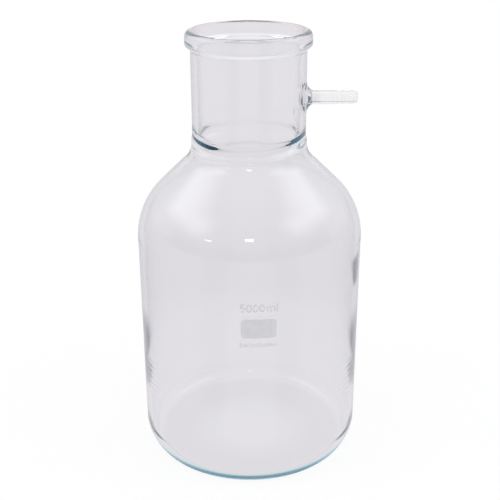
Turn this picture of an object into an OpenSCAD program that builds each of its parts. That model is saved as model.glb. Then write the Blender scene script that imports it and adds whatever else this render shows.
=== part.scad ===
// Bottle-shaped filtering flask, 5000 ml, with a glass hose side arm on the neck.
// Millimetres, +Z up. Origin: centre of the standing plane, on the flask's axis.
// The side arm points along +X and the printed marks face -Y.

/* [Body] */
// outside diameter of the straight wall
body_d = 182; // [178:0.5:186]
// thickness of the blown wall, the heel and the shoulder
body_wall = 4.5; // [3.6:0.1:5.2]
// height at which the straight wall ends and the shoulder starts
wall_top = 187.8; // [170:0.5:200]
// radius of the shoulder's outside curve
shoulder_r = 57.5; // [54:0.5:60]
// angle through which the shoulder curves before it runs straight
shoulder_angle = 45.5; // [44:0.5:47]
// radius of the outside hollow between the shoulder and the neck
collar_fillet = 19.5; // [17:0.5:22]

/* [Foot] */
// how far the heel draws in from the wall to the foot
heel_in = 14.5; // [13:0.5:16]
// height of the heel's curve
heel_h = 22; // [20:0.5:24]
// radius of the tight part of the heel, next to the foot
heel_foot_r = 11; // [9.5:0.5:12]
// how far the standing face reaches in from the heel
foot_w = 10; // [8:0.5:14]
// rise of the underside at the axis
punt_rise = 3; // [2:0.1:4]
// rise of the inside floor at the axis
floor_rise = 4; // [3:0.1:5]

/* [Neck] */
// outside diameter of the neck tube
neck_d = 89.4; // [88:0.1:90.4]
// wall of the neck tube
neck_wall = 4.5; // [4:0.1:5]
// length of the neck tube from the sealing ring to the rim
neck_len = 65.8; // [62:0.1:75]
// extra radius of the sealing ring over the neck tube at its foot
seal_swell = 0.9; // [0.5:0.1:1.4]
// height of the sealing ring
seal_h = 7.3; // [6.8:0.1:8.5]
// radius of the rounded bulge inside the seal
bulge_r = 9; // [8:0.5:9.5]
// how far the bulge stands into the bore
bulge_in = 2.4; // [1.8:0.1:2.6]
// height of the bulge's middle above the foot of the sealing ring
bulge_up = 0.6; // [0.3:0.1:0.8]

/* [Rim] */
// outside diameter of the rim bead
rim_d = 97.6; // [96:0.1:99]
// height of the rim bead
rim_h = 14; // [13:0.1:15]
// radius of the bead's outside rounding
rim_round = 4.6; // [4:0.1:5]
// width by which the mouth opens out at the top of the rim
mouth_flare = 1.8; // [1:0.1:2.4]
// radius of the rounded inside edge of the mouth
mouth_round = 2; // [1.5:0.1:2.2]

/* [Side arm] */
// height of the side arm's axis
arm_z = 299.8; // [294:0.1:312]
// distance of the side arm's tip from the flask's axis
arm_reach = 84.3; // [80:0.1:92]
// outside diameter of the side arm's plain tube
arm_d = 10.6; // [10:0.1:11.4]
// bore of the side arm
arm_bore = 6.4; // [5.6:0.1:7]
// distance from one crest to the next at the rippled tip
ripple_pitch = 6; // [5:0.1:6.5]
// depth of the hollows between the crests
ripple_depth = 0.7; // [0.4:0.1:0.9]
// radius of each crest's rounding
ripple_round = 5; // [4:0.5:6]
// length of the tapered end beyond the last crest
tip_len = 5.2; // [4.6:0.1:6]
// amount by which the tapered end draws in
tip_in = 0.6; // [0.4:0.1:0.8]
// half height of the flared seal on the neck
flare_half = 13.6; // [12.5:0.1:15]
// reach of the flared seal out from the neck
flare_out = 4; // [3.4:0.1:5]
// radius of the flare's hollow curve
flare_hollow = 12; // [10:0.5:16]
// radius of the rounding inside the flare, from the bore to the inside of the neck
throat_round = 8.3; // [8.2:0.1:8.6]
// radius of the hole in the neck that the flare closes
port_r = 12.5; // [12.1:0.1:13]

/* [Marks] */
// width of the writing field
field_w = 27; // [24:0.5:30]
// height of the writing field
field_h = 15.7; // [14:0.1:18]
// height of the writing field's centre
field_z = 145.3; // [130:0.1:160]
// corner radius of the writing field
field_corner = 2.6; // [1:0.1:3]
// thickness of the fired enamel
enamel_t = 0.3; // [0.2:0.05:0.5]
// turn of the marks from the front towards the side arm
marks_turn = 4.3; // [0:0.1:10]

/* [Hidden] */
$fn = 160;
eps = 0.5;
// neighbouring arcs run on under each other by this angle
lap = 4;
// and a tangent line or arc crosses its neighbour by this much, so that no sliver is left
bite = 0.03;

body_r = body_d / 2;
neck_r = neck_d / 2;
neck_bore = neck_r - neck_wall;
foot_r = body_r - heel_in;

// the heel is two arcs that meet tangent, a tight one at the foot and an easy one up the wall
heel_tangent_r = (heel_in * heel_in + pow(heel_h - heel_foot_r, 2) - heel_foot_r * heel_foot_r)
               / (2 * (heel_in - heel_foot_r));
heel_wall_r = round(100 * (heel_tangent_r - 2 * bite)) / 100;
heel_wall_x = body_r - heel_wall_r;
heel_split = atan2(heel_foot_r - heel_h, foot_r - heel_wall_x);

// the shoulder's arc, the straight run after it and the hollow that turns into the neck
shoulder_x = body_r - shoulder_r;
shoulder_end_x = shoulder_x + shoulder_r * cos(shoulder_angle);
shoulder_end_z = wall_top + shoulder_r * sin(shoulder_angle);
collar_r = neck_r + seal_swell;
hollow_x = collar_r + collar_fillet;
hollow_tangent_z = shoulder_end_z
                 + (collar_fillet - (hollow_x - shoulder_end_x) * cos(shoulder_angle)) / sin(shoulder_angle);
hollow_z = round(100 * hollow_tangent_z) / 100;

// the heights at which the neck's pieces meet
seal_z = hollow_z;
tube_z = seal_z + seal_h;
rim_z = tube_z + neck_len;
flask_h = rim_z + rim_h;

punt_r = foot_r - foot_w;
punt_curve = (punt_r * punt_r + punt_rise * punt_rise) / (2 * punt_rise);
// the inside floor's dome runs out a little up the heel
floor_r = foot_r + 3;
floor_curve = (floor_r * floor_r + floor_rise * floor_rise) / (2 * floor_rise);

arm_r = arm_d / 2;
hole_r = arm_bore / 2;
seat_x = neck_r + flare_out;
port_x = neck_r - 2 * neck_wall;
throat_r = hole_r + throat_round;
throat_x = seat_x - eps;
bulge_x = neck_bore - bulge_in + bulge_r;
bulge_z = seal_z + bulge_up;
valley_r = arm_r - ripple_depth;
tube_end_x = arm_reach - tip_len - 2 * ripple_pitch;

// ---------- shared shapes ----------

// a slice of a disc, from angle a0 to angle a1, less than a half turn apart
module pie(x, y, r, a0, a1) {
    far = 2 * r;
    mid = (a0 + a1) / 2;
    translate([x, y])
        intersection() {
            circle(r = r);
            polygon([
                [0, 0],
                [far * cos(a0), far * sin(a0)],
                [far * cos(mid), far * sin(mid)],
                [far * cos(a1), far * sin(a1)]
            ]);
        }
}

// half section of the bottle's filled outline, drawn in evenly by "inset"
module bottle_half(inset) {
    line_in = inset + bite;
    hollow = collar_fillet + inset;
    cone_x = shoulder_end_x - line_in * cos(shoulder_angle);
    cone_z = shoulder_end_z - line_in * sin(shoulder_angle);
    turn_x = hollow_x - (hollow - bite) * cos(shoulder_angle);
    turn_z = hollow_z - (hollow - bite) * sin(shoulder_angle);

    translate([0, inset])
        square([foot_r, heel_h - inset]);
    pie(foot_r, heel_foot_r, heel_foot_r - inset, -90 - lap, heel_split + lap);
    pie(heel_wall_x, heel_h, heel_wall_r - inset, heel_split, lap);
    translate([0, heel_h])
        square([body_r - inset, wall_top - heel_h]);
    pie(shoulder_x, wall_top, shoulder_r - inset, -lap, shoulder_angle + lap);
    difference() {
        polygon([
            [0, wall_top],
            [shoulder_x, wall_top],
            [cone_x, cone_z],
            [turn_x, turn_z],
            [hollow_x - hollow + eps, hollow_z],
            [0, hollow_z]
        ]);
        translate([hollow_x, hollow_z])
            circle(r = hollow);
    }
}

// the neck's filled outline, used to trim pieces to its outside; the turn keeps its seam off the arm
module neck_core() {
    translate([0, 0, arm_z - neck_r])
        rotate([0, 0, 90])
            cylinder(r = neck_r, h = neck_d);
}

// the round port through the neck's wall on the side arm's axis
module port() {
    translate([port_x, 0, arm_z])
        rotate([0, 90, 0])
            cylinder(r = port_r, h = 3 * neck_wall);
}

// ---------- glass ----------

// blown body: punted foot, two-arc heel, straight wall, shoulder and the hollow up to the seal
module body() {
    color([0.80, 0.88, 0.90])
        rotate_extrude()
            difference() {
                bottle_half(0);
                difference() {
                    bottle_half(body_wall);
                    translate([0, body_wall + floor_rise - floor_curve])
                        circle(r = floor_curve);
                    translate([bulge_x, bulge_z])
                        circle(r = bulge_r);
                }
                translate([0, punt_rise - punt_curve])
                    circle(r = punt_curve);
            }
}

// ring of fused glass where the neck is sealed on, with a rounded bulge in the bore
module neck_seal() {
    color([0.45, 0.66, 0.70])
        rotate_extrude() {
            polygon([
                [neck_bore, seal_z],
                [collar_r, seal_z],
                [collar_r, seal_z + seal_h / 3],
                [neck_r, tube_z],
                [neck_bore, tube_z]
            ]);
            intersection() {
                translate([neck_bore - neck_wall, seal_z])
                    square([neck_wall + eps, seal_h]);
                translate([bulge_x, bulge_z])
                    circle(r = bulge_r);
            }
        }
}

// heavy neck tube with the port that the side arm's seal closes
module neck() {
    color([0.76, 0.86, 0.88])
        difference() {
            translate([0, 0, tube_z])
                cylinder(r = neck_r, h = neck_len);
            translate([0, 0, tube_z - eps])
                cylinder(r = neck_bore, h = neck_len + 2 * eps);
            port();
        }
}

// rolled rim: a rounded outside bead and a mouth that opens out a little
module rim_bead() {
    bead_x = rim_d / 2 - rim_round;
    mouth_x = neck_bore + mouth_flare + mouth_round;
    color([0.68, 0.82, 0.85])
        rotate_extrude() {
            intersection() {
                translate([bead_x, rim_z])
                    square([rim_round, rim_h]);
                union() {
                    translate([bead_x, rim_z + rim_round])
                        circle(r = rim_round);
                    translate([bead_x, flask_h - rim_round])
                        circle(r = rim_round);
                    translate([bead_x, rim_z + rim_round])
                        square([rim_round, rim_h - 2 * rim_round]);
                }
            }
            polygon([
                [neck_bore, rim_z],
                [bead_x, rim_z],
                [bead_x, flask_h],
                [mouth_x, flask_h],
                [mouth_x - mouth_round, flask_h - mouth_round]
            ]);
            pie(mouth_x, flask_h - mouth_round, mouth_round, 90 - lap, 180);
        }
}

// blown seal of the side arm: flared outside and inside, it closes the port in the neck
module arm_seal() {
    chord = sqrt(pow(flare_out, 2) + pow(flare_half - arm_r, 2));
    drop = sqrt(flare_hollow * flare_hollow - chord * chord / 4);
    curve_x = (neck_r + seat_x) / 2 + drop * (flare_half - arm_r) / chord;
    curve_r = (flare_half + arm_r) / 2 + drop * flare_out / chord;
    skirt = 4;
    color([0.55, 0.74, 0.78])
        difference() {
            translate([0, 0, arm_z])
                rotate([0, 90, 0])
                    rotate_extrude()
                        difference() {
                            polygon([
                                [hole_r, port_x],
                                [port_r + eps, port_x],
                                [port_r + eps, neck_r - skirt],
                                [flare_half + skirt, neck_r - skirt],
                                [flare_half - 1, neck_r + 1],
                                [arm_r + eps, seat_x],
                                [hole_r, seat_x]
                            ]);
                            translate([curve_r, curve_x])
                                circle(r = flare_hollow);
                            difference() {
                                translate([0, port_x - eps])
                                    square([throat_r, throat_x - port_x + eps]);
                                translate([throat_r, throat_x])
                                    circle(r = throat_round);
                            }
                        }
            difference() {
                neck_core();
                port();
            }
            translate([0, 0, arm_z - neck_r])
                rotate([0, 0, 90])
                    cylinder(r = neck_bore, h = neck_d);
        }
}

// side arm: plain tube, two easy ripples for the hose, a tapered tip and a through bore
module side_arm() {
    color([0.84, 0.90, 0.92])
        translate([0, 0, arm_z])
            rotate([0, 90, 0])
                rotate_extrude() {
                    translate([hole_r, seat_x])
                        square([arm_r - hole_r, tube_end_x - seat_x]);
                    intersection() {
                        translate([hole_r, seat_x])
                            square([arm_r, arm_reach - seat_x]);
                        for (i = [0 : 2])
                            translate([arm_r - ripple_round, tube_end_x + i * ripple_pitch])
                                circle(r = ripple_round);
                    }
                    polygon([
                        [hole_r, seat_x],
                        [valley_r, seat_x],
                        [valley_r, arm_reach - tip_len],
                        [valley_r - tip_in, arm_reach],
                        [hole_r, arm_reach]
                    ]);
                }
}

// ---------- fired enamel ----------

// rounded rectangle, centred
module round_rect(w, h, r) {
    square([w - 2 * r, h], center = true);
    square([w, h - 2 * r], center = true);
    for (sx = [-1, 1])
        for (sz = [-1, 1])
            translate([sx * (w / 2 - r), sz * (h / 2 - r)])
                circle(r = r);
}

// writing field: a thin curved enamel plate fired on the wall
module writing_field() {
    color([0.80, 0.80, 0.81])
        rotate([0, 0, marks_turn])
            intersection() {
                difference() {
                    translate([0, 0, field_z - field_h])
                        cylinder(r = body_r + enamel_t, h = 2 * field_h);
                    translate([0, 0, field_z - field_h - eps])
                        cylinder(r = body_r, h = 2 * field_h + 2 * eps);
                }
                translate([0, 0, field_z])
                    rotate([90, 0, 0])
                        linear_extrude(height = body_r + 5)
                            round_rect(field_w, field_h, field_corner);
            }
}

body();
neck_seal();
neck();
rim_bead();
arm_seal();
side_arm();
writing_field();
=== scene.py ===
"""Bottle-shaped filtering flask, 5000 ml: one skin of fused glass and its fired enamel marks."""

import math

import bmesh
import bpy
from mathutils import Matrix, Vector


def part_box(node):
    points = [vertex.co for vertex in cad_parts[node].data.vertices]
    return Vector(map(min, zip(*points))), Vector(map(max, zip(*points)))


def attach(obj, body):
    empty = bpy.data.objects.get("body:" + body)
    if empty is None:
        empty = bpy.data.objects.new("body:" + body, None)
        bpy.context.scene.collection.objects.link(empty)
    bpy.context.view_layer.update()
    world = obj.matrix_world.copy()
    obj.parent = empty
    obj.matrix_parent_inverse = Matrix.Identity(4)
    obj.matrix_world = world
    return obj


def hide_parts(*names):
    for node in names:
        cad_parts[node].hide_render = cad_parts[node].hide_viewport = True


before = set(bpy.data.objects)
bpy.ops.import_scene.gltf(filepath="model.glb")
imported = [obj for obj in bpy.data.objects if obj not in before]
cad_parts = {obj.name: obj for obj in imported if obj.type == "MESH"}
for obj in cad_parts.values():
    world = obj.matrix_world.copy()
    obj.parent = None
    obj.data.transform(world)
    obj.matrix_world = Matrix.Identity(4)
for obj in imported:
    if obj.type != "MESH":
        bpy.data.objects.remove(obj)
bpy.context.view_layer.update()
scene = bpy.context.scene

MM = 0.001
SAME = 0.02

# ---------- sizes, in millimetres, as the part's source has them ----------

BODY_R = 91.0
BODY_WALL = 4.5
WALL_TOP = 187.8
SHOULDER_R = 57.5
SHOULDER_ANGLE = 45.5
COLLAR_FILLET = 19.5

HEEL_IN = 14.5
HEEL_H = 22.0
HEEL_FOOT_R = 11.0
FOOT_W = 10.0
PUNT_RISE = 3.0
FLOOR_RISE = 4.0

NECK_R = 44.7
NECK_BORE = 40.2
SEAL_SWELL = 0.9
SEAL_H = 7.3
BULGE_IN = 1.75
BULGE_UP = 0.9
BULGE_HALF = 7.0

RIM_R = 48.8
RIM_H = 14.0
RIM_ROUND = 4.6
MOUTH_FLARE = 1.8
MOUTH_ROUND = 2.0

ARM_Z = 299.8
ARM_REACH = 84.3
ARM_R = 5.3
ARM_BORE_R = 3.2
RIPPLE_PITCH = 6.0
RIPPLE_DEPTH = 0.7
TIP_LEN = 5.2
TIP_IN = 0.6
TIP_ROUND = 0.9
FLARE_HALF = 13.6
FLARE_OUT = 4.0
FLARE_EDGE = 1.4
FLARE_SPREAD = 1.5
FLARE_CURVE = 3.0
INNER_FLARE = 9.8
INNER_LIFT = 8.0
INNER_CURVE = 2.6

MARKS_TURN = 4.3

SEAL_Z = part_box("neck_seal")[0][2] / MM
TUBE_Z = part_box("neck")[0][2] / MM
RIM_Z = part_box("rim_bead")[0][2] / MM
FLASK_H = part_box("rim_bead")[1][2] / MM

# where the bead's soft underside starts and where it is full width
BEAD_LOW = RIM_Z - 1.2
BEAD_WIDE = RIM_Z + 4.2

# columns round the flask, and how far a window round the side arm reaches from its axis
AROUND = 288
WINDOW = 18.0
WINDOW_COLS = 17

# what hand working leaves; stretches are (size, angle, half angle), in degrees from the side arm
SEAL_TILT = (1.5, 205)
SEAL_LIFTS = [(2.4, 350, 60), (3.0, 168, 62)]
SEAL_THICK = [(1.15, 205, 62), (1.3, 345, 32), (1.4, 145, 30), (0.4, 35, 35)]
SEAL_WIDE = (2.5, 205, 50)
RIDGE = (0.6, 200, 42)
RIDGE_UP = 8.0
RIDGE_HALF = 2.4
WAVES = [(0.03, 187, 52), (0.03, 353, 52)]
WAVE_PITCH = 5.2
WAVES_LOW = 54
WAVES_HIGH = 90
WAVES_EASE = 6
DRAWN = [(0.05, 7, 0.6), (0.035, 13, 2.1)]
DRAWN_CLEAR = 20
DRAWN_EASE = 14
DRAWN_END = 8


# ---------- camera ----------

CAMERA_PLACE = (0.0004, -0.7077, 0.4707)
CAMERA_LENS = 66.68
CAMERA_DOWN = 22.93
CAMERA_ROLL = -0.23


def set_camera():
    data = bpy.data.cameras.new("camera")
    data.lens = CAMERA_LENS
    data.sensor_width = 36.0
    camera = bpy.data.objects.new("camera", data)
    scene.collection.objects.link(camera)
    camera.matrix_world = (
        Matrix.Translation(CAMERA_PLACE)
        @ Matrix.Rotation(math.radians(90 - CAMERA_DOWN), 4, "X")
        @ Matrix.Rotation(math.radians(CAMERA_ROLL), 4, "Z")
    )
    scene.camera = camera


set_camera()


# ---------- profiles ----------

def arc(x, z, r, a0, a1, step=4.0):
    """Points on an arc of a circle, from angle a0 to angle a1 in degrees."""
    count = max(2, math.ceil(abs(a1 - a0) / step)) + 1
    angles = [math.radians(a0 + (a1 - a0) * i / (count - 1)) for i in range(count)]
    return [(x + r * math.cos(a), z + r * math.sin(a)) for a in angles]


def line(p, q, step):
    """Points from p to q, both ends included, about a step apart."""
    count = max(1, math.ceil(math.dist(p, q) / step))
    run, rise = q[0] - p[0], q[1] - p[1]
    return [(p[0] + run * i / count, p[1] + rise * i / count) for i in range(count + 1)]


def joined(*runs):
    """One run of points, without the doubled ones where the runs meet."""
    out = []
    for run in runs:
        for p in run:
            if not out or math.dist(out[-1], p) > SAME:
                out.append(p)
    return out


def bottle_side(inset):
    """The body's side from the foot up to the seal, drawn in evenly by inset."""
    foot_x = BODY_R - HEEL_IN
    heel_up = HEEL_H - HEEL_FOOT_R
    heel_r = (HEEL_IN**2 + heel_up**2 - HEEL_FOOT_R**2) / (2 * (HEEL_IN - HEEL_FOOT_R))
    heel_x = BODY_R - heel_r
    split = math.degrees(math.atan2(HEEL_FOOT_R - HEEL_H, foot_x - heel_x))
    shoulder_x = BODY_R - SHOULDER_R
    hollow_x = NECK_R + SEAL_SWELL + COLLAR_FILLET
    shoulder = arc(shoulder_x, WALL_TOP, SHOULDER_R - inset, 0, SHOULDER_ANGLE, 1.5)
    hollow = arc(hollow_x, SEAL_Z, COLLAR_FILLET + inset, 180 + SHOULDER_ANGLE, 180, 3)
    return joined(
        arc(foot_x, HEEL_FOOT_R, HEEL_FOOT_R - inset, -90, split, 4),
        arc(heel_x, HEEL_H, heel_r - inset, split, 0, 3),
        line((BODY_R - inset, HEEL_H), (BODY_R - inset, WALL_TOP), 1.25 if inset else 4),
        shoulder,
        line(shoulder[-1], hollow[0], 3),
        hollow,
    )


def domed(r, low, rise):
    """Points across a shallow dome that runs out level at radius r, from the axis outwards."""
    steps = 30
    xs = [r * i / steps for i in range(1, steps + 1)]
    return [(x, low + rise * (1 - (x / r) ** 2) ** 2) for x in xs]


foot_out = BODY_R - HEEL_IN
foot_in = foot_out - FOOT_W
seal_r = NECK_R + SEAL_SWELL
seal_bend = SEAL_Z + SEAL_H / 3
outside = joined(
    domed(foot_in, 0, PUNT_RISE),
    line((foot_in, 0), (foot_out, 0), 3),
    bottle_side(0),
    line((seal_r, SEAL_Z), (seal_r, seal_bend), 1),
    line((seal_r, seal_bend), (NECK_R, TUBE_Z), 1),
)
inside = joined(
    domed(foot_out, BODY_WALL, FLOOR_RISE),
    bottle_side(BODY_WALL),
    line((seal_r - BODY_WALL, SEAL_Z), (NECK_BORE, TUBE_Z), 0.7),
)


def neck_side(z):
    """The neck's outside radius: straight, then swelling softly into the bead."""
    t = min(1.0, max(0.0, (z - BEAD_LOW) / (BEAD_WIDE - BEAD_LOW)))
    return NECK_R + (RIM_R - NECK_R) * (0.5 - 0.5 * math.cos(math.pi * t))


SOFT_STEPS = 12
rising = [RIM_Z + (BEAD_WIDE - RIM_Z) * i / SOFT_STEPS for i in range(1, SOFT_STEPS + 1)]
rim_outside = joined(
    [(neck_side(z), z) for z in rising],
    line((RIM_R, BEAD_WIDE), (RIM_R, FLASK_H - RIM_ROUND), 1.2),
    arc(RIM_R - RIM_ROUND, FLASK_H - RIM_ROUND, RIM_ROUND, 0, 90, 8),
)
opening = [i / SOFT_STEPS for i in range(SOFT_STEPS + 1)]
mouth_x = NECK_BORE + MOUTH_FLARE + MOUTH_ROUND
rim_inside = joined(
    [(NECK_BORE + MOUTH_FLARE * t**2, RIM_Z + (RIM_H - MOUTH_ROUND) * t) for t in opening],
    arc(mouth_x, FLASK_H - MOUTH_ROUND, MOUTH_ROUND, 180, 90, 12),
)

# the neck's rows, shared by both of its surfaces; one lies at each end of the side arm's window
FINE_FROM = RIM_Z - 3
neck_rows = joined(
    line((0, TUBE_Z), (0, ARM_Z - WINDOW), 1.6),
    line((0, ARM_Z - WINDOW), (0, ARM_Z + WINDOW), 1.5),
    line((0, ARM_Z + WINDOW), (0, FINE_FROM), 1.6),
    line((0, FINE_FROM), (0, RIM_Z), 0.4),
)
neck_zs = [p[1] for p in neck_rows]


def row_nearest(height):
    return min(range(len(neck_zs)), key=lambda i: abs(neck_zs[i] - height))


window_low = row_nearest(ARM_Z - WINDOW)
window_high = row_nearest(ARM_Z + WINDOW)


# ---------- the glass ----------

class Skin:
    """Grows one closed mesh row by row."""

    def __init__(self):
        self.points = []
        self.faces = []

    def point(self, x, y, z):
        self.points.append((x * MM, y * MM, z * MM))
        return len(self.points) - 1

    def row(self, reach, z, leave=()):
        """A ring of points; reach is its radius, or gives it for an angle. leave names columns
        that get no point."""
        out = []
        for k in range(AROUND):
            a = 2 * math.pi * k / AROUND
            r = reach(a) if callable(reach) else reach
            out.append(None if k in leave else self.point(r * math.cos(a), r * math.sin(a), z))
        return out

    def band(self, low, high, flip=False):
        """Faces between two rings, wherever all four corners exist."""
        n = len(low)
        for k in range(n):
            quad = [low[k], low[(k + 1) % n], high[(k + 1) % n], high[k]]
            if None not in quad:
                self.faces.append(quad[::-1] if flip else quad)

    def fan(self, tip, ring, flip=False):
        n = len(ring)
        for k in range(n):
            tri = [tip, ring[k], ring[(k + 1) % n]]
            self.faces.append(tri[::-1] if flip else tri)

    def mesh(self, name):
        mesh = bpy.data.meshes.new(name)
        mesh.from_pydata(self.points, [], self.faces)
        mesh.polygons.foreach_set("use_smooth", [True] * len(mesh.polygons))
        mesh.update()
        return mesh


def ease(t):
    t = min(1.0, max(0.0, t))
    return t * t * (3 - 2 * t)


def turned(a, middle):
    """The angle from a middle direction to a, in degrees between -180 and 180."""
    off = a - math.radians(middle)
    return math.degrees(math.atan2(math.sin(off), math.cos(off)))


def hump(off, half):
    """1 at nothing, easing to 0 at half a width on either side."""
    return 0.5 + 0.5 * math.cos(math.pi * min(1.0, abs(off) / half))


def stretch(a, size, middle, half):
    """A size that is full at one angle round the flask and eases to 0 on either side of it."""
    return size * hump(turned(a, middle), half)


def seal_bulge(a, z):
    """How far the fused ring stands into the bore; it is thick at the sides and thin between."""
    tilt, low_side = SEAL_TILT
    middle = SEAL_Z + BULGE_UP - tilt * math.cos(a - math.radians(low_side))
    middle += sum(stretch(a, *lift) for lift in SEAL_LIFTS)
    depth = BULGE_IN + sum(stretch(a, *thick) for thick in SEAL_THICK)
    ring = depth * hump(z - middle, BULGE_HALF + stretch(a, *SEAL_WIDE))
    return ring + stretch(a, *RIDGE) * hump(z - middle - RIDGE_UP, RIDGE_HALF)


def wall_wave(a, z):
    """Shallow rings left in the wall's inside, low on the body at either side."""
    depth = sum(stretch(a, *wave) for wave in WAVES)
    ends = ease((z - WAVES_LOW) / WAVES_EASE) * ease((WAVES_HIGH - z) / WAVES_EASE)
    return depth * math.sin(2 * math.pi * z / WAVE_PITCH) * ends


def drawn(a, z):
    """The slight unevenness of the drawn neck tube, gone near its ends and the side arm."""
    wave = sum(depth * math.sin(count * a + start) for depth, count, start in DRAWN)
    off = math.hypot(NECK_BORE * math.radians(turned(a, 0)), z - ARM_Z)
    ends = ease((z - TUBE_Z) / DRAWN_END) * ease((RIM_Z - z) / DRAWN_END)
    return wave * ease((off - DRAWN_CLEAR) / DRAWN_EASE) * ends


def neck_surface(skin, reach, flip):
    """The neck's rings, with a window left open round the side arm, and that window's edge."""
    inner_cols = {k % AROUND for k in range(-WINDOW_COLS + 1, WINDOW_COLS)}
    rings = []
    for i, z in enumerate(neck_zs):
        leave = inner_cols if window_low < i < window_high else ()
        rings.append(skin.row(lambda a: reach(a, z), z, leave))
    for i in range(len(rings) - 1):
        low, high = rings[i], rings[i + 1]
        if window_low <= i < window_high:
            for k in range(AROUND):
                off = (k + AROUND // 2) % AROUND - AROUND // 2
                if -WINDOW_COLS <= off < WINDOW_COLS:
                    continue
                k1 = (k + 1) % AROUND
                quad = [low[k], low[k1], high[k1], high[k]]
                skin.faces.append(quad[::-1] if flip else quad)
        else:
            skin.band(low, high, flip)
    cols = list(range(-WINDOW_COLS, WINDOW_COLS + 1))
    edge = [rings[window_low][k % AROUND] for k in cols]
    edge += [rings[i][WINDOW_COLS] for i in range(window_low + 1, window_high)]
    edge += [rings[window_high][k % AROUND] for k in reversed(cols)]
    edge += [rings[i][-WINDOW_COLS % AROUND] for i in range(window_high - 1, window_low, -1)]
    return rings, edge


def ripple(x):
    """How far the side arm's outside draws in at distance x from the flask's axis."""
    start = ARM_REACH - TIP_LEN - 2 * RIPPLE_PITCH
    if x < start - 2:
        return 0.0
    if x <= ARM_REACH - TIP_LEN:
        wave = 0.5 - 0.5 * math.cos(2 * math.pi * (x - start) / RIPPLE_PITCH)
        return RIPPLE_DEPTH * wave if x > start else 0.0
    t = (x - ARM_REACH + TIP_LEN) / TIP_LEN
    return (RIPPLE_DEPTH + TIP_IN) * (3 * t * t - 2 * t**3)


def side_arm_chain():
    """The side arm from its seal out to the tip and back down the bore, as (x, radius) pairs."""
    root = NECK_R + FLARE_OUT
    tip_x = ARM_REACH - TIP_ROUND
    tube_steps, tip_steps, bore_steps = 46, 10, 14
    xs = [root + (tip_x - root) * i / tube_steps for i in range(1, tube_steps + 1)]
    outer = [(x, ARM_R - ripple(x)) for x in xs]
    tip_r = outer[-1][1]
    tip_mid = (tip_r + ARM_BORE_R) / 2
    half = (tip_r - ARM_BORE_R) / 2
    bends = [math.pi * i / tip_steps for i in range(1, tip_steps)]
    tip = [(tip_x + TIP_ROUND * math.sin(a), tip_mid + half * math.cos(a)) for a in bends]
    bore_len = tip_x - root - 1
    bore = [(tip_x - bore_len * i / bore_steps, ARM_BORE_R) for i in range(bore_steps + 1)]
    return outer + tip + bore


def side_arm(skin, outer_edge, inner_edge):
    """The sealed-on side arm: a smooth flare out of the neck, the tube, its tip and its bore."""
    n = len(outer_edge)

    def seen_along(edge):
        """An edge's points as the side arm's axis sees them: how far aside and how far up."""
        return [(skin.points[k][1] / MM, skin.points[k][2] / MM - ARM_Z) for k in edge]

    start = seen_along(outer_edge)
    turns = [math.atan2(h, y) for y, h in start]
    even = [turns[0] + 2 * math.pi * i / n for i in range(n)]
    for i in range(n):
        while even[i] - turns[i] > math.pi:
            even[i] -= 2 * math.pi
        while turns[i] - even[i] > math.pi:
            even[i] += 2 * math.pi

    def ring(radius_at, x_at, mix):
        """A ring round the side arm; mix eases its spacing from the window's to an even one."""
        out = []
        for i in range(n):
            a = turns[i] + (even[i] - turns[i]) * mix
            r = radius_at(i)
            y, h = r * math.cos(a), r * math.sin(a)
            out.append(skin.point(x_at(y), y, ARM_Z + h))
        return out

    rings = [outer_edge]
    flat_steps, flare_steps, inner_steps = 5, 16, 5
    flat_mix = 0.3
    reach = FLARE_HALF + FLARE_EDGE
    for s in range(1, flat_steps + 1):
        t = s / flat_steps
        rings.append(ring(
            lambda i: math.hypot(*start[i]) * (1 - t) + reach * t,
            lambda y: math.sqrt(NECK_R**2 - y * y),
            flat_mix * t,
        ))
    for s in range(1, flare_steps + 1):
        t = s / flare_steps
        radius = ARM_R + (reach - ARM_R) * (1 - t) ** FLARE_SPREAD
        u = (radius - ARM_R) / (reach - ARM_R)
        lift = FLARE_OUT * (1 - u) ** FLARE_CURVE
        rings.append(ring(
            lambda i: radius,
            lambda y: math.sqrt(NECK_R**2 - y * y) * u + NECK_R * (1 - u) + lift,
            flat_mix + (1 - flat_mix) * t,
        ))
    for x, r in side_arm_chain():
        rings.append(ring(lambda i: r, lambda y: x, 1.0))
    for s in range(1, flare_steps + 1):
        u = s / flare_steps
        radius = ARM_BORE_R + (INNER_FLARE - ARM_BORE_R) * u
        lift = INNER_LIFT * (1 - u) ** INNER_CURVE
        rings.append(ring(
            lambda i: radius,
            lambda y: math.sqrt(NECK_BORE**2 - y * y) * u + NECK_BORE * (1 - u) + lift,
            1.0,
        ))
    inner_start = [math.hypot(y, h) for y, h in seen_along(inner_edge)]
    for s in range(1, inner_steps):
        t = s / inner_steps
        rings.append(ring(
            lambda i: INNER_FLARE * (1 - t) + inner_start[i] * t,
            lambda y: math.sqrt(NECK_BORE**2 - y * y),
            1 - t,
        ))
    rings.append(inner_edge)
    for low, high in zip(rings, rings[1:]):
        skin.band(low, high)


def below_neck(profile):
    """A profile without the point it shares with the neck's lowest row."""
    return [p for p in profile if p[1] < TUBE_Z - SAME / 2]


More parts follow.
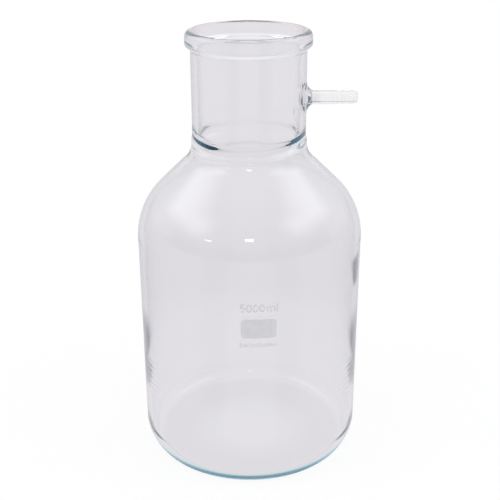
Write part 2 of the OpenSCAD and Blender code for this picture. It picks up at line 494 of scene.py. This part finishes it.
def glass_skin():
    """The whole flask as one closed skin: outside, rim, inside, and the side arm between them."""
    skin = Skin()
    below = [skin.row(x, z) for x, z in below_neck(outside)]
    skin.fan(skin.point(0, 0, PUNT_RISE), below[0], flip=True)
    neck_out, window_out = neck_surface(skin, lambda a, z: neck_side(z), False)
    for low, high in zip(below, below[1:] + [neck_out[0]]):
        skin.band(low, high)
    rim = [neck_out[-1]] + [skin.row(x, z) for x, z in rim_outside]
    rim += [skin.row(x, z) for x, z in reversed(rim_inside[1:])]
    neck_in, window_in = neck_surface(
        skin, lambda a, z: NECK_BORE + drawn(a, z) - seal_bulge(a, z), True
    )
    rim.append(neck_in[-1])
    for low, high in zip(rim, rim[1:]):
        skin.band(low, high)
    cavity = [
        skin.row(lambda a: x - seal_bulge(a, z) + wall_wave(a, z), z)
        for x, z in below_neck(inside)
    ]
    for low, high in zip(cavity, cavity[1:] + [neck_in[0]]):
        skin.band(low, high, flip=True)
    skin.fan(skin.point(0, 0, BODY_WALL + FLOOR_RISE), cavity[0])
    side_arm(skin, window_out, window_in)
    return skin


def make_flask():
    mesh = glass_skin().mesh("flask_glass")
    bm = bmesh.new()
    bm.from_mesh(mesh)
    bmesh.ops.recalc_face_normals(bm, faces=bm.faces)
    bm.to_mesh(mesh)
    bm.free()
    flask = bpy.data.objects.new("flask_glass", mesh)
    scene.collection.objects.link(flask)
    return flask


# ---------- the marks ----------

MARK_R = BODY_R + 0.03
MARK_T = 0.2

STROKE = 1.2
DIGIT_H = 6.3
DIGIT_W = 7.1
DIGIT_GAP = 0.1
NUMERALS_Z = 159.4

TICKS = 21
TICK_PITCH = 1.4
TICK_H = 2.9
LONG_TICK_H = 3.8
LONG_EVERY = 5
TICK_STROKE = 0.8
TICKS_Z = 129.9


def on_wall(u, v, out):
    """A point on the wall, u to the right of the marks' middle line and v high."""
    a = math.radians(MARKS_TURN - 90) + u / BODY_R
    r = MARK_R + out
    return (r * math.cos(a) * MM, r * math.sin(a) * MM, v * MM)


def bend(cx, cy, rx, ry, a0, a1, count=14):
    """Points on an arc of an ellipse, from angle a0 to angle a1 in degrees."""
    angles = [math.radians(a0 + (a1 - a0) * i / count) for i in range(count + 1)]
    return [(cx + rx * math.cos(a), cy + ry * math.sin(a)) for a in angles]


# strokes of each figure, in shares of a digit's width and height, and how far each one reaches
GLYPHS = {
    "5": [[(0.50, 0.95), (0.13, 0.95), (0.09, 0.52)] + bend(0.27, 0.33, 0.23, 0.27, 115, -125, 20)],
    "0": [bend(0.29, 0.5, 0.23, 0.45, 90, 450, 36)],
    "m": [
        [(0.06, 0.0), (0.06, 0.44)] + bend(0.25, 0.46, 0.19, 0.18, 180, 0) + [(0.44, 0.0)],
        bend(0.63, 0.46, 0.19, 0.18, 150, 0) + [(0.82, 0.0)],
    ],
    "l": [[(0.06, 0.0), (0.06, 1.0)]],
}
MITRE_LEAST = 0.6
WIDTHS = {"5": 0.70, "0": 0.68, "m": 1.04, "l": 0.2, " ": 0.14}


def lay_stroke(bm, path, width):
    """One painted stroke: a thin flat ribbon fired on the wall."""
    closed = math.dist(path[0], path[-1]) < 1e-6
    path = path[:-1] if closed else path
    n = len(path)
    corners = []
    for i in range(n):
        before = path[i - 1] if closed or i else path[0]
        after = path[(i + 1) % n] if closed or i < n - 1 else path[-1]
        ways = [Vector(path[i]) - Vector(before), Vector(after) - Vector(path[i])]
        ways = [w.normalized() for w in ways if w.length > 1e-9]
        mean = sum(ways, Vector((0, 0))).normalized()
        reach = width / 2 / max(MITRE_LEAST, mean.dot(ways[0]))
        side = Vector((-mean.y, mean.x)) * reach
        here = Vector(path[i])
        pair = [here - side, here + side]
        corners.append([bm.verts.new(on_wall(*p, out)) for out in (0, MARK_T) for p in pair])
    spans = n if closed else n - 1
    for i in range(spans):
        a, b = corners[i], corners[(i + 1) % n]
        for j, k in ((0, 2), (2, 3), (3, 1), (1, 0)):
            bm.faces.new([a[j], a[k], b[k], b[j]])
    if not closed:
        bm.faces.new([corners[0][j] for j in (0, 1, 3, 2)])
        bm.faces.new([corners[-1][j] for j in (2, 3, 1, 0)])


def mark_piece(name, strokes, width):
    bm = bmesh.new()
    for path in strokes:
        lay_stroke(bm, path, width)
    bmesh.ops.recalc_face_normals(bm, faces=bm.faces)
    mesh = bpy.data.meshes.new(name)
    bm.to_mesh(mesh)
    bm.free()
    piece = bpy.data.objects.new(name, mesh)
    scene.collection.objects.link(piece)
    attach(piece, "root")
    return piece


def capacity_numerals():
    """The plain capacity, 5000 ml."""
    text = "5000 ml"
    total = sum(WIDTHS[c] for c in text) - DIGIT_GAP
    u = -total * DIGIT_W / 2
    strokes = []
    for c in text:
        for path in GLYPHS.get(c, []):
            strokes.append([(u + x * DIGIT_W, NUMERALS_Z + y * DIGIT_H) for x, y in path])
        u += WIDTHS[c] * DIGIT_W
    return mark_piece("capacity_numerals", strokes, STROKE)


def tick_row():
    """A row of plain ticks under the writing field."""
    strokes = []
    for i in range(TICKS):
        u = (i - (TICKS - 1) / 2) * TICK_PITCH
        tall = TICK_H if i % LONG_EVERY else LONG_TICK_H
        strokes.append([(u, TICKS_Z), (u, TICKS_Z + tall)])
    return mark_piece("tick_row", strokes, TICK_STROKE)


# ---------- materials ----------

class Value:
    """A socket that takes part in ordinary arithmetic."""

    def __init__(self, kit, socket):
        self.kit, self.socket = kit, socket

    def math(self, operation, other=0.0, swap=False):
        pair = [other, self] if swap else [self, other]
        return self.kit.node("ShaderNodeMath", {"operation": operation}, {0: pair[0], 1: pair[1]})

    def __add__(self, other):
        return self.math("ADD", other)

    def __sub__(self, other):
        return self.math("SUBTRACT", other)

    def __rsub__(self, other):
        return self.math("SUBTRACT", other, swap=True)

    def __mul__(self, other):
        return self.math("MULTIPLY", other)

    def __truediv__(self, other):
        return self.math("DIVIDE", other)

    __radd__ = __add__

    def most(self, other):
        return self.math("MAXIMUM", other)

    def size(self):
        return self.math("ABSOLUTE")


RAYS = [
    "camera", "shadow", "diffuse", "glossy", "singular",
    "reflection", "transmission", "volume", "length", "depth",
]


class Finish:
    """A material, or the world, and the nodes in it."""

    def __init__(self, owner):
        owner.use_nodes = True
        self.owner, self.tree = owner, owner.node_tree
        self.tree.nodes.clear()

    def node(self, kind, settings=None, sockets=None, out=0):
        made = self.tree.nodes.new(kind)
        for name, value in (settings or {}).items():
            setattr(made, name, value)
        for name, value in (sockets or {}).items():
            if isinstance(value, Value):
                self.tree.links.new(value.socket, made.inputs[name])
            else:
                made.inputs[name].default_value = value
        return Value(self, made.outputs[out]) if made.outputs else None

    def mix(self, factor, a, b):
        sockets = {0: factor, 6: a, 7: b}
        return self.node("ShaderNodeMix", {"data_type": "RGBA"}, sockets, out=2)

    def blend(self, factor, a, b):
        """Two shaders, the second in the share that factor gives."""
        return self.node("ShaderNodeMixShader", {}, {0: factor, 1: a, 2: b})

    def glow(self, colour):
        return self.node("ShaderNodeEmission", {}, {"Color": colour, "Strength": 1.0})

    def ramp(self, value, low, high):
        """0 at low, easing to 1 at high; low may be the larger."""
        sockets = {0: value, 1: low, 2: high}
        return self.node("ShaderNodeMapRange", {"interpolation_type": "SMOOTHSTEP"}, sockets)

    def within(self, value, start, full, fade, gone):
        """1 between full and fade, easing to 0 at start and at gone."""
        return self.ramp(value, start, full) * self.ramp(value, gone, fade)

    def place(self):
        """Where the point lies, in metres, in the part's own frame."""
        return self.node("ShaderNodeTexCoord", out=3)

    def part(self, place, axis):
        return self.node("ShaderNodeSeparateXYZ", {}, {0: place}, out=axis)

    def ray(self, kind):
        return self.node("ShaderNodeLightPath", out=RAYS.index(kind))

    def seen_by(self, *kinds):
        """1 for the named kinds of ray, 0 for the rest."""
        total = self.ray(kinds[0])
        for kind in kinds[1:]:
            total = total.most(self.ray(kind))
        return total

    def far_inside(self):
        """Towards 1 for light that has run a long way inside the glass wall."""
        depth = self.ray("depth")
        first, last = self.ramp(depth, *FAR_FIRST), self.ramp(depth, *FAR_LAST)
        return first * FAR_SHARE + last * (1 - FAR_SHARE)

    # the painted shade for such light: dark grey, then dark teal for the longest runs
    def far_painted_shade(self):
        return self.mix(self.ramp(self.ray("depth"), *DEEPEST), FAR_GREY_PAINTED_SHADE, FAR_TEAL_PAINTED_SHADE)

    def turned_once(self):
        """1 for light that was turned back once inside the glass wall."""
        sockets = {0: self.ray("depth"), 1: 3.0, 2: 0.5}
        return self.node("ShaderNodeMath", {"operation": "COMPARE"}, sockets)


# how many surfaces light has met: where the painted far shade, and the painted glow caught in the
# rim, ease in
FAR_FIRST = (6.0, 7.5)
FAR_LAST = (11, 14)
DEEPEST = (16, 28)
CAUGHT = (6, 8)
CAUGHT_IN_BEAD = (3.5, 5.5)
BEHIND_LATER = 3.0

# painted shade that the room and floor show to light that has run far in the glass
FAR_SHARE = 0.75
FAR_GREY_PAINTED_SHADE = (0.19, 0.205, 0.235, 1)
FAR_TEAL_PAINTED_SHADE = (0.001, 0.015, 0.045, 1)

# where the glass's painted edge shade and painted glows ease in, in metres: by height, to the back
# and to the side arm's side
WALL_RISE = (0.04, 0.12)
NECK_RISE = (0.255, 0.275)
ABOVE_ARM_SEAL = (0.292, 0.294)
IN_BEAD = (0.3385, 0.3405)
BEAD_TOP = (0.344, 0.347)
BACK_HALF = (0.0, 0.035)
ARM_SIDE = (0.030, 0.040)
ALONG_ARM = (0.052, 0.058)
ARM_HEIGHT = (0.262, 0.266)
BEAD_ENDS = (0.026, 0.042)

CLEAR = (1, 1, 1, 1)
WHITE = (1, 1, 1, 1)
EDGE_PAINTED_SHADE = (0.56, 0.57, 0.59, 1)
EDGE_TURN = (0.45, 1.0)
WALL_EDGE_SHADE = 0.35
NECK_EDGE_SHADE = 0.65
BACK_EDGE_SHADE_LESS = 0.55
DRAWN_ROUGHNESS = 0.004
GLASS_IOR = 1.473
GLASS_TINT = (0.10, 0.62, 0.72, 1)
GLASS_DENSITY = 3.0
GLASS_SHADOW = (0.90, 0.92, 0.925, 1)
TRAPPED_PAINTED_GLOW = (0.80, 0.56, 0.58, 1)
TRAPPED_BEHIND_PAINTED_GLOW = (0.92, 0.76, 0.77, 1)
BEAD_PAINTED_SHADE = (0.26, 0.22, 0.24, 1)
BEAD_BEHIND_PAINTED_SHADE = (0.46, 0.42, 0.44, 1)
RIM_PAINTED_GLOW = (0.76, 0.69, 0.73, 1)
RIM_GLOW_SHARE = 0.16
ARM_GLOW_SHARE = 0.13
ENAMEL_DARK = (0.68, 0.68, 0.70, 1)
ENAMEL_PALE = (0.76, 0.76, 0.78, 1)
ENAMEL_COVER = 0.75
ENAMEL_ROUGHNESS, GRAIN_ROUGHNESS = 0.38, 0.14
GRAIN_DEPTH = 0.05 * MM
GRAIN_SHARE, CLOUD_SHARE = 0.6, 0.4


def clear_glass():
    """Borosilicate: clear, teal where light runs far inside it, with painted grey shade at its
    edges and painted glow and shade in the neck, bead and side arm.
    """
    made = Finish(bpy.data.materials.new("borosilicate_glass"))
    place = made.place()
    aside, back, height = (made.part(place, axis) for axis in range(3))
    behind = made.ramp(back, *BACK_HALF)
    unevenness = made.node(
        "ShaderNodeTexNoise", {}, {"Vector": place, "Scale": 14.0, "Detail": 1.0}
    )
    # painted shade: the glass's colour greys where it is seen edge-on, on the wall and more on the
    # neck, less at the back
    facing = made.node("ShaderNodeLayerWeight", {}, {"Blend": 0.5}, out=1)
    in_wall = made.ramp(height, *WALL_RISE) * WALL_EDGE_SHADE
    in_neck = made.ramp(height, *NECK_RISE) * (NECK_EDGE_SHADE - behind * BACK_EDGE_SHADE_LESS)
    edge = made.ramp(facing, *EDGE_TURN) * (in_wall + in_neck)
    sockets = {
        "Base Color": made.mix(edge, CLEAR, EDGE_PAINTED_SHADE),
        "Roughness": made.ramp(unevenness, 0.2, 0.8) * DRAWN_ROUGHNESS,
        "IOR": GLASS_IOR,
        "Transmission Weight": 1.0,
    }
    glass = made.node("ShaderNodeBsdfPrincipled", {}, sockets)

    # painted glow and shade: light that stays in the neck's wall or in the bead ends in a plain
    # grey emission, pale on the neck and dark in the bead
    depth = made.ray("depth")
    in_bead = made.ramp(height, *IN_BEAD)
    where = behind.most(made.ramp(aside, *ARM_SIDE)) * made.ramp(height, *ABOVE_ARM_SEAL)
    held = made.ramp(depth, *CAUGHT) * where
    held = held.most(made.ramp(depth - behind * BEHIND_LATER, *CAUGHT_IN_BEAD) * in_bead)
    neck_painted_glow = made.blend(behind, made.glow(TRAPPED_PAINTED_GLOW), made.glow(TRAPPED_BEHIND_PAINTED_GLOW))
    bead_painted_shade = made.blend(behind, made.glow(BEAD_PAINTED_SHADE), made.glow(BEAD_BEHIND_PAINTED_SHADE))
    glass = made.blend(held, glass, made.blend(in_bead, neck_painted_glow, bead_painted_shade))

    # painted glow: white emission mixed into the side arm, and a pale one into the ends of the
    # bead's top, so they look to catch a little more of the bright room
    painted_arm_glow = made.ramp(aside, *ALONG_ARM) * made.ramp(height, *ARM_HEIGHT)
    glass = made.blend(painted_arm_glow * ARM_GLOW_SHARE, glass, made.glow(WHITE))
    painted_end_glow = made.ramp(aside.size(), *BEAD_ENDS) * made.ramp(height, *BEAD_TOP)
    glass = made.blend(painted_end_glow * RIM_GLOW_SHARE, glass, made.glow(RIM_PAINTED_GLOW))

    lamp_way = made.node("ShaderNodeBsdfTransparent", {}, {"Color": GLASS_SHADOW})
    surface = made.blend(made.seen_by("shadow"), glass, lamp_way)
    inside_tint = made.node(
        "ShaderNodeVolumeAbsorption", {}, {"Color": GLASS_TINT, "Density": GLASS_DENSITY}
    )
    made.node("ShaderNodeOutputMaterial", {}, {"Surface": surface, "Volume": inside_tint})
    return made.owner


def fired_enamel():
    """Pale grey fired enamel, finely grained and thin enough to let some light by."""
    made = Finish(bpy.data.materials.new("fired_enamel"))
    place = made.place()
    grain = made.node("ShaderNodeTexNoise", {}, {"Vector": place, "Scale": 2600.0, "Detail": 2.0})
    cloud = made.node("ShaderNodeTexNoise", {}, {"Vector": place, "Scale": 180.0, "Detail": 1.0})
    mottle = made.ramp(grain * GRAIN_SHARE + cloud * CLOUD_SHARE, 0.3, 0.7)
    relief = {"Strength": 0.15, "Distance": GRAIN_DEPTH, "Height": grain}
    sockets = {
        "Base Color": made.mix(mottle, ENAMEL_DARK, ENAMEL_PALE),
        "Roughness": ENAMEL_ROUGHNESS + grain * GRAIN_ROUGHNESS,
        "Normal": made.node("ShaderNodeBump", {}, relief),
        "Alpha": ENAMEL_COVER,
    }
    enamel = made.node("ShaderNodeBsdfPrincipled", {}, sockets)
    made.node("ShaderNodeOutputMaterial", {}, {"Surface": enamel})
    return made.owner


glass = clear_glass()
enamel = fired_enamel()


# ---------- the flask ----------

flask = make_flask()
flask.data.materials.append(glass)
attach(flask, "root")
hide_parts("body", "neck_seal", "neck", "rim_bead", "arm_seal", "side_arm")

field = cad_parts["writing_field"]
for piece in (field, capacity_numerals(), tick_row()):
    piece.data.materials.clear()
    piece.data.materials.append(enamel)


# ---------- studio ----------

# the room's tones, and where they ease in, by how far a direction points up or to the back
BACK_TONE = (0.81, 0.782, 0.812, 1)
HIGH_TONE = (0.90, 0.885, 0.91, 1)
FRONT_TONE = (0.42, 0.41, 0.42, 1)
CEILING_TONE = (0.78, 0.77, 0.79, 1)
LIGHTING_TONE = (0.75, 0.75, 0.76, 1)
CEILING_UP = (0.15, 0.45)
FRONT_TO_BACK = (-0.35, 0.35)
HIGH_UP = (0.03, 0.12)
HIGH_BACK = (-0.05, 0.1)

# soft panels and small spots: turn, lift, half width, half height and softness, in degrees
PANEL_TONE = (3.0, 3.0, 3.05, 1)
PANEL_SHARE = 0.55
PANELS = [(-90, 41, 27, 12, 11), (86, 43, 25, 12, 11)]
SPOT_TONE = (9.0, 9.0, 9.1, 1)
SPOTS = [(0, 33.5, 4.0, 2.0, 0.4, 1.0), (-46, 25, 3.0, 1.1, 0.4, 0.6)]
SPOT_WITHIN = (0, 33.5, 3.6, 2.0, 1.0)
SPOT_NEAR = (4.7, 4.3)
SPOT_FAR = (6.3, 5.7)

# how far the floor reaches and how low it lies, in metres, clear of the flask's foot
FLOOR_WIDE, FLOOR_LOW = 14.0, -0.1 * MM

# the floor's tones; all but plain white are seen only through the glass, and all but the plain
# floor tone are painted shade, shadow or, in the middle, painted light
FLOOR_PAINT = (0.86, 0.86, 0.87, 1)
FLOOR_TONE = (0.80, 0.771, 0.80, 1)
MIDDLE_PAINTED_LIGHT = (0.82, 0.79, 0.825, 1)
WEDGE_PAINTED_SHADE = (0.58, 0.565, 0.59, 1)
SHADE_TONE = (0.76, 0.73, 0.765, 1)
STREAK_PAINTED_SHADE = (0.10, 0.12, 0.16, 1)
PALE_TEAL_PAINTED_SHADE = (0.55, 0.76, 0.82, 1)
TEAL_PAINTED_SHADE = (0.09, 0.25, 0.33, 1)

# where they ease in, and out again: distances in metres from the flask's axis (OUT), to the back
# (BACK), to the side arm's side (ARM) and to either side (SIDES)
SIDES = (0.09, 0.13)
RING_OUT, RING_BACK = (0.155, 0.175, 0.24, 0.31), (0.09, 0.12)
DASH_OUT, DASH_BACK = (0.150, 0.165, 0.19, 0.21), (0.045, 0.065)
DASH_SHARE = 0.7
FLAG_OUT, FLAG_BACK, FLAG_ARM = (0.355, 0.37, 0.43, 0.46), (0.22, 0.25), (0.2, 0.24)
HEEL_SIDES, HEEL_OUT = (0.0905, 0.093), (0.110, 0.106)
SHADE_OUT = (0.2, 0.32, 0.42, 0.62)
UNDER_BACK, UNDER_OUT = (-0.02, -0.07), (0.14, 0.10)
UNDER_SHARE = 0.7
BASE_OUT = (0.084, 0.074)
MIDDLE_OUT = (0.06, 0.02)
WEDGE_SPREAD, WEDGE_AHEAD = (0.30, 0.5, 0.8, 1.3), (0.12, 0.2)
PALE_TEAL_OUT = (0.0895, 0.0865)
TEAL_OUT = (0.0855, 0.0830)
SHADOW_OUT = (0.2, 0.6)
SHADOW_SHARE = 0.15


def toward(turn, lift):
    """The direction turned from the front towards the side arm, and lifted, in degrees."""
    t, l = math.radians(turn), math.radians(lift)
    return Vector((math.sin(t) * math.cos(l), -math.cos(t) * math.cos(l), math.sin(l)))


def backdrop():
    """A pale room: bright behind and below the flask, darker in front, with soft panels."""
    scene.world = bpy.data.worlds.new("pale_room")
    room = Finish(scene.world)
    way = room.node("ShaderNodeTexCoord", out=0)

    def along(direction):
        sockets = {0: way, 1: direction}
        return room.node("ShaderNodeVectorMath", {"operation": "DOT_PRODUCT"}, sockets, out=1)

    def edge(value, half, soft):
        """1 within half an angle's width, with a soft edge, in degrees."""
        outer, inner = math.radians(half + soft), math.radians(half - soft)
        return room.ramp(value, math.tan(outer), math.tan(inner))

    def panel(turn, lift, wide, tall, soft):
        """1 inside a rectangle that faces the flask."""
        middle = toward(turn, lift)
        side = toward(turn + 90, 0)
        ahead = along(middle).most(0.001)
        across = (along(side) / ahead).size()
        up = (along(middle.cross(side)) / ahead).size()
        return edge(across, wide, soft) * edge(up, tall, soft)

    up, back = along((0, 0, 1)), along((0, 1, 0))
    front = room.mix(room.ramp(up, *CEILING_UP), FRONT_TONE, CEILING_TONE)
    tone = room.mix(room.ramp(back, *FRONT_TO_BACK), front, BACK_TONE)
    tone = room.mix(room.ramp(up, *HIGH_UP) * room.ramp(back, *HIGH_BACK), tone, HIGH_TONE)
    for where in PANELS:
        tone = room.mix(panel(*where) * PANEL_SHARE, tone, PANEL_TONE)
    near = room.ramp(room.ray("depth"), *SPOT_NEAR)
    for *where, share in SPOTS:
        tone = room.mix(panel(*where) * share * near, tone, SPOT_TONE)
    within = room.ramp(room.ray("depth"), *SPOT_FAR) * (1.0 - near)
    tone = room.mix(panel(*SPOT_WITHIN) * within, tone, SPOT_TONE)
    # painted shade: the room turns dark grey, then dark teal, for light that has met many glass
    # surfaces
    tone = room.mix(room.far_inside(), tone, room.far_painted_shade())
    seen = room.mix(room.seen_by("camera"), tone, WHITE)
    lit = room.mix(room.seen_by("diffuse"), seen, LIGHTING_TONE)
    glow = room.node("ShaderNodeBackground", {}, {"Color": lit, "Strength": 1.0})
    room.node("ShaderNodeOutputWorld", {}, {"Surface": glow})


def painted_floor_shade(made, out, aside, back):
    """Painted shadows: dark patches on the floor, behind and beside the flask and round its heel,
    that its wall shows as streaks.
    """
    sides = made.ramp(aside.size(), *SIDES)
    ring = made.within(out, *RING_OUT) * made.ramp(back, *RING_BACK) * sides
    dash = made.within(out, *DASH_OUT) * made.ramp(back, *DASH_BACK) * sides
    flag = made.within(out, *FLAG_OUT) * made.ramp(back, *FLAG_BACK)
    flag = flag * made.ramp(aside, *FLAG_ARM)
    heel = made.ramp(aside.size(), *HEEL_SIDES) * made.ramp(out, *HEEL_OUT)
    return ring.most(dash * DASH_SHARE).most(flag).most(heel)


def floor_tone(made, out, aside, back):
    """What the glass shows of the floor, with painted shade, shadows and light on it."""
    # painted shade in a wide ring round the flask, just in front of and under it, and under its
    # base; the middle under the base painted a little lighter
    shade = made.within(out, *SHADE_OUT)
    under = made.ramp(back, *UNDER_BACK) * made.ramp(out, *UNDER_OUT)
    tone = made.mix(shade.most(under * UNDER_SHARE), FLOOR_TONE, SHADE_TONE)
    tone = made.mix(made.ramp(out, *BASE_OUT), tone, SHADE_TONE)
    tone = made.mix(made.ramp(out, *MIDDLE_OUT), tone, MIDDLE_PAINTED_LIGHT)
    # painted shade in a wedge of floor in front of the flask
    ahead = (0 - back).most(0.01)
    spread = made.within(aside.size() / ahead, *WEDGE_SPREAD)
    tone = made.mix(spread * made.ramp(ahead, *WEDGE_AHEAD), tone, WEDGE_PAINTED_SHADE)
    # painted shadow streaks, and pale and dark teal shade round the heel, seen by light turned back
    # once in the wall
    once = made.turned_once()
    tone = made.mix(painted_floor_shade(made, out, aside, back) * once, tone, STREAK_PAINTED_SHADE)
    tone = made.mix(made.ramp(out, *PALE_TEAL_OUT) * once, tone, PALE_TEAL_PAINTED_SHADE)
    tone = made.mix(made.ramp(out, *TEAL_OUT) * once, tone, TEAL_PAINTED_SHADE)
    # painted shade: the floor turns dark grey, then dark teal, for light that has met many glass
    # surfaces
    return made.mix(made.far_inside(), tone, made.far_painted_shade())


def lay_floor():
    """A wide white floor that keeps the flask's shadow near it."""
    wide, low = FLOOR_WIDE, FLOOR_LOW
    corners = [(-wide, -wide, low), (wide, -wide, low), (wide, wide, low), (-wide, wide, low)]
    mesh = bpy.data.meshes.new("floor")
    mesh.from_pydata(corners, [], [(0, 1, 2, 3)])
    floor = bpy.data.objects.new("floor", mesh)
    scene.collection.objects.link(floor)
    made = Finish(bpy.data.materials.new("pale_floor"))
    place = made.place()
    out = made.node("ShaderNodeVectorMath", {"operation": "LENGTH"}, {0: place}, out=1)
    aside, back = made.part(place, 0), made.part(place, 1)
    paint = made.node("ShaderNodeBsdfDiffuse", {}, {"Color": FLOOR_PAINT})
    tone = made.mix(made.seen_by("camera"), floor_tone(made, out, aside, back), WHITE)
    share = made.ramp(out, *SHADOW_OUT) * SHADOW_SHARE + (1 - SHADOW_SHARE)
    share = share * made.seen_by("camera")
    share = share.most(made.seen_by("transmission", "glossy"))
    surface = made.blend(share, paint, made.glow(tone))
    made.node("ShaderNodeOutputMaterial", {}, {"Surface": surface})
    mesh.materials.append(made.owner)


# how often light may turn; the glass wall holds it for long
BOUNCES = 200

# the lamps, in metres
SOFTBOX_OUT, SOFTBOX_AHEAD, SOFTBOX_UP = 1.5, -0.35, 1.45
SOFTBOX_SIZE = (0.7, 1.0)
SOFTBOX_AIM = (0, 0, 0.2)
SOFTBOX_POWER = 14


def softbox(name, side):
    """A soft lamp at one side, aimed at the flask's middle, that no reflection shows."""
    data = bpy.data.lights.new(name, "AREA")
    data.shape = "RECTANGLE"
    data.size, data.size_y = SOFTBOX_SIZE
    data.energy = SOFTBOX_POWER
    lamp = bpy.data.objects.new(name, data)
    lamp.visible_glossy = False
    lamp.visible_transmission = False
    lamp.location = (side * SOFTBOX_OUT, SOFTBOX_AHEAD, SOFTBOX_UP)
    way = Vector(SOFTBOX_AIM) - lamp.location
    lamp.rotation_euler = way.to_track_quat("-Z", "Y").to_euler()
    scene.collection.objects.link(lamp)


backdrop()
lay_floor()
softbox("softbox_left", -1)
softbox("softbox_right", 1)

scene.view_settings.view_transform = "Standard"
scene.cycles.max_bounces = BOUNCES
scene.cycles.transmission_bounces = BOUNCES
scene.cycles.glossy_bounces = BOUNCES
scene.cycles.transparent_max_bounces = 32
scene.cycles.caustics_refractive = True
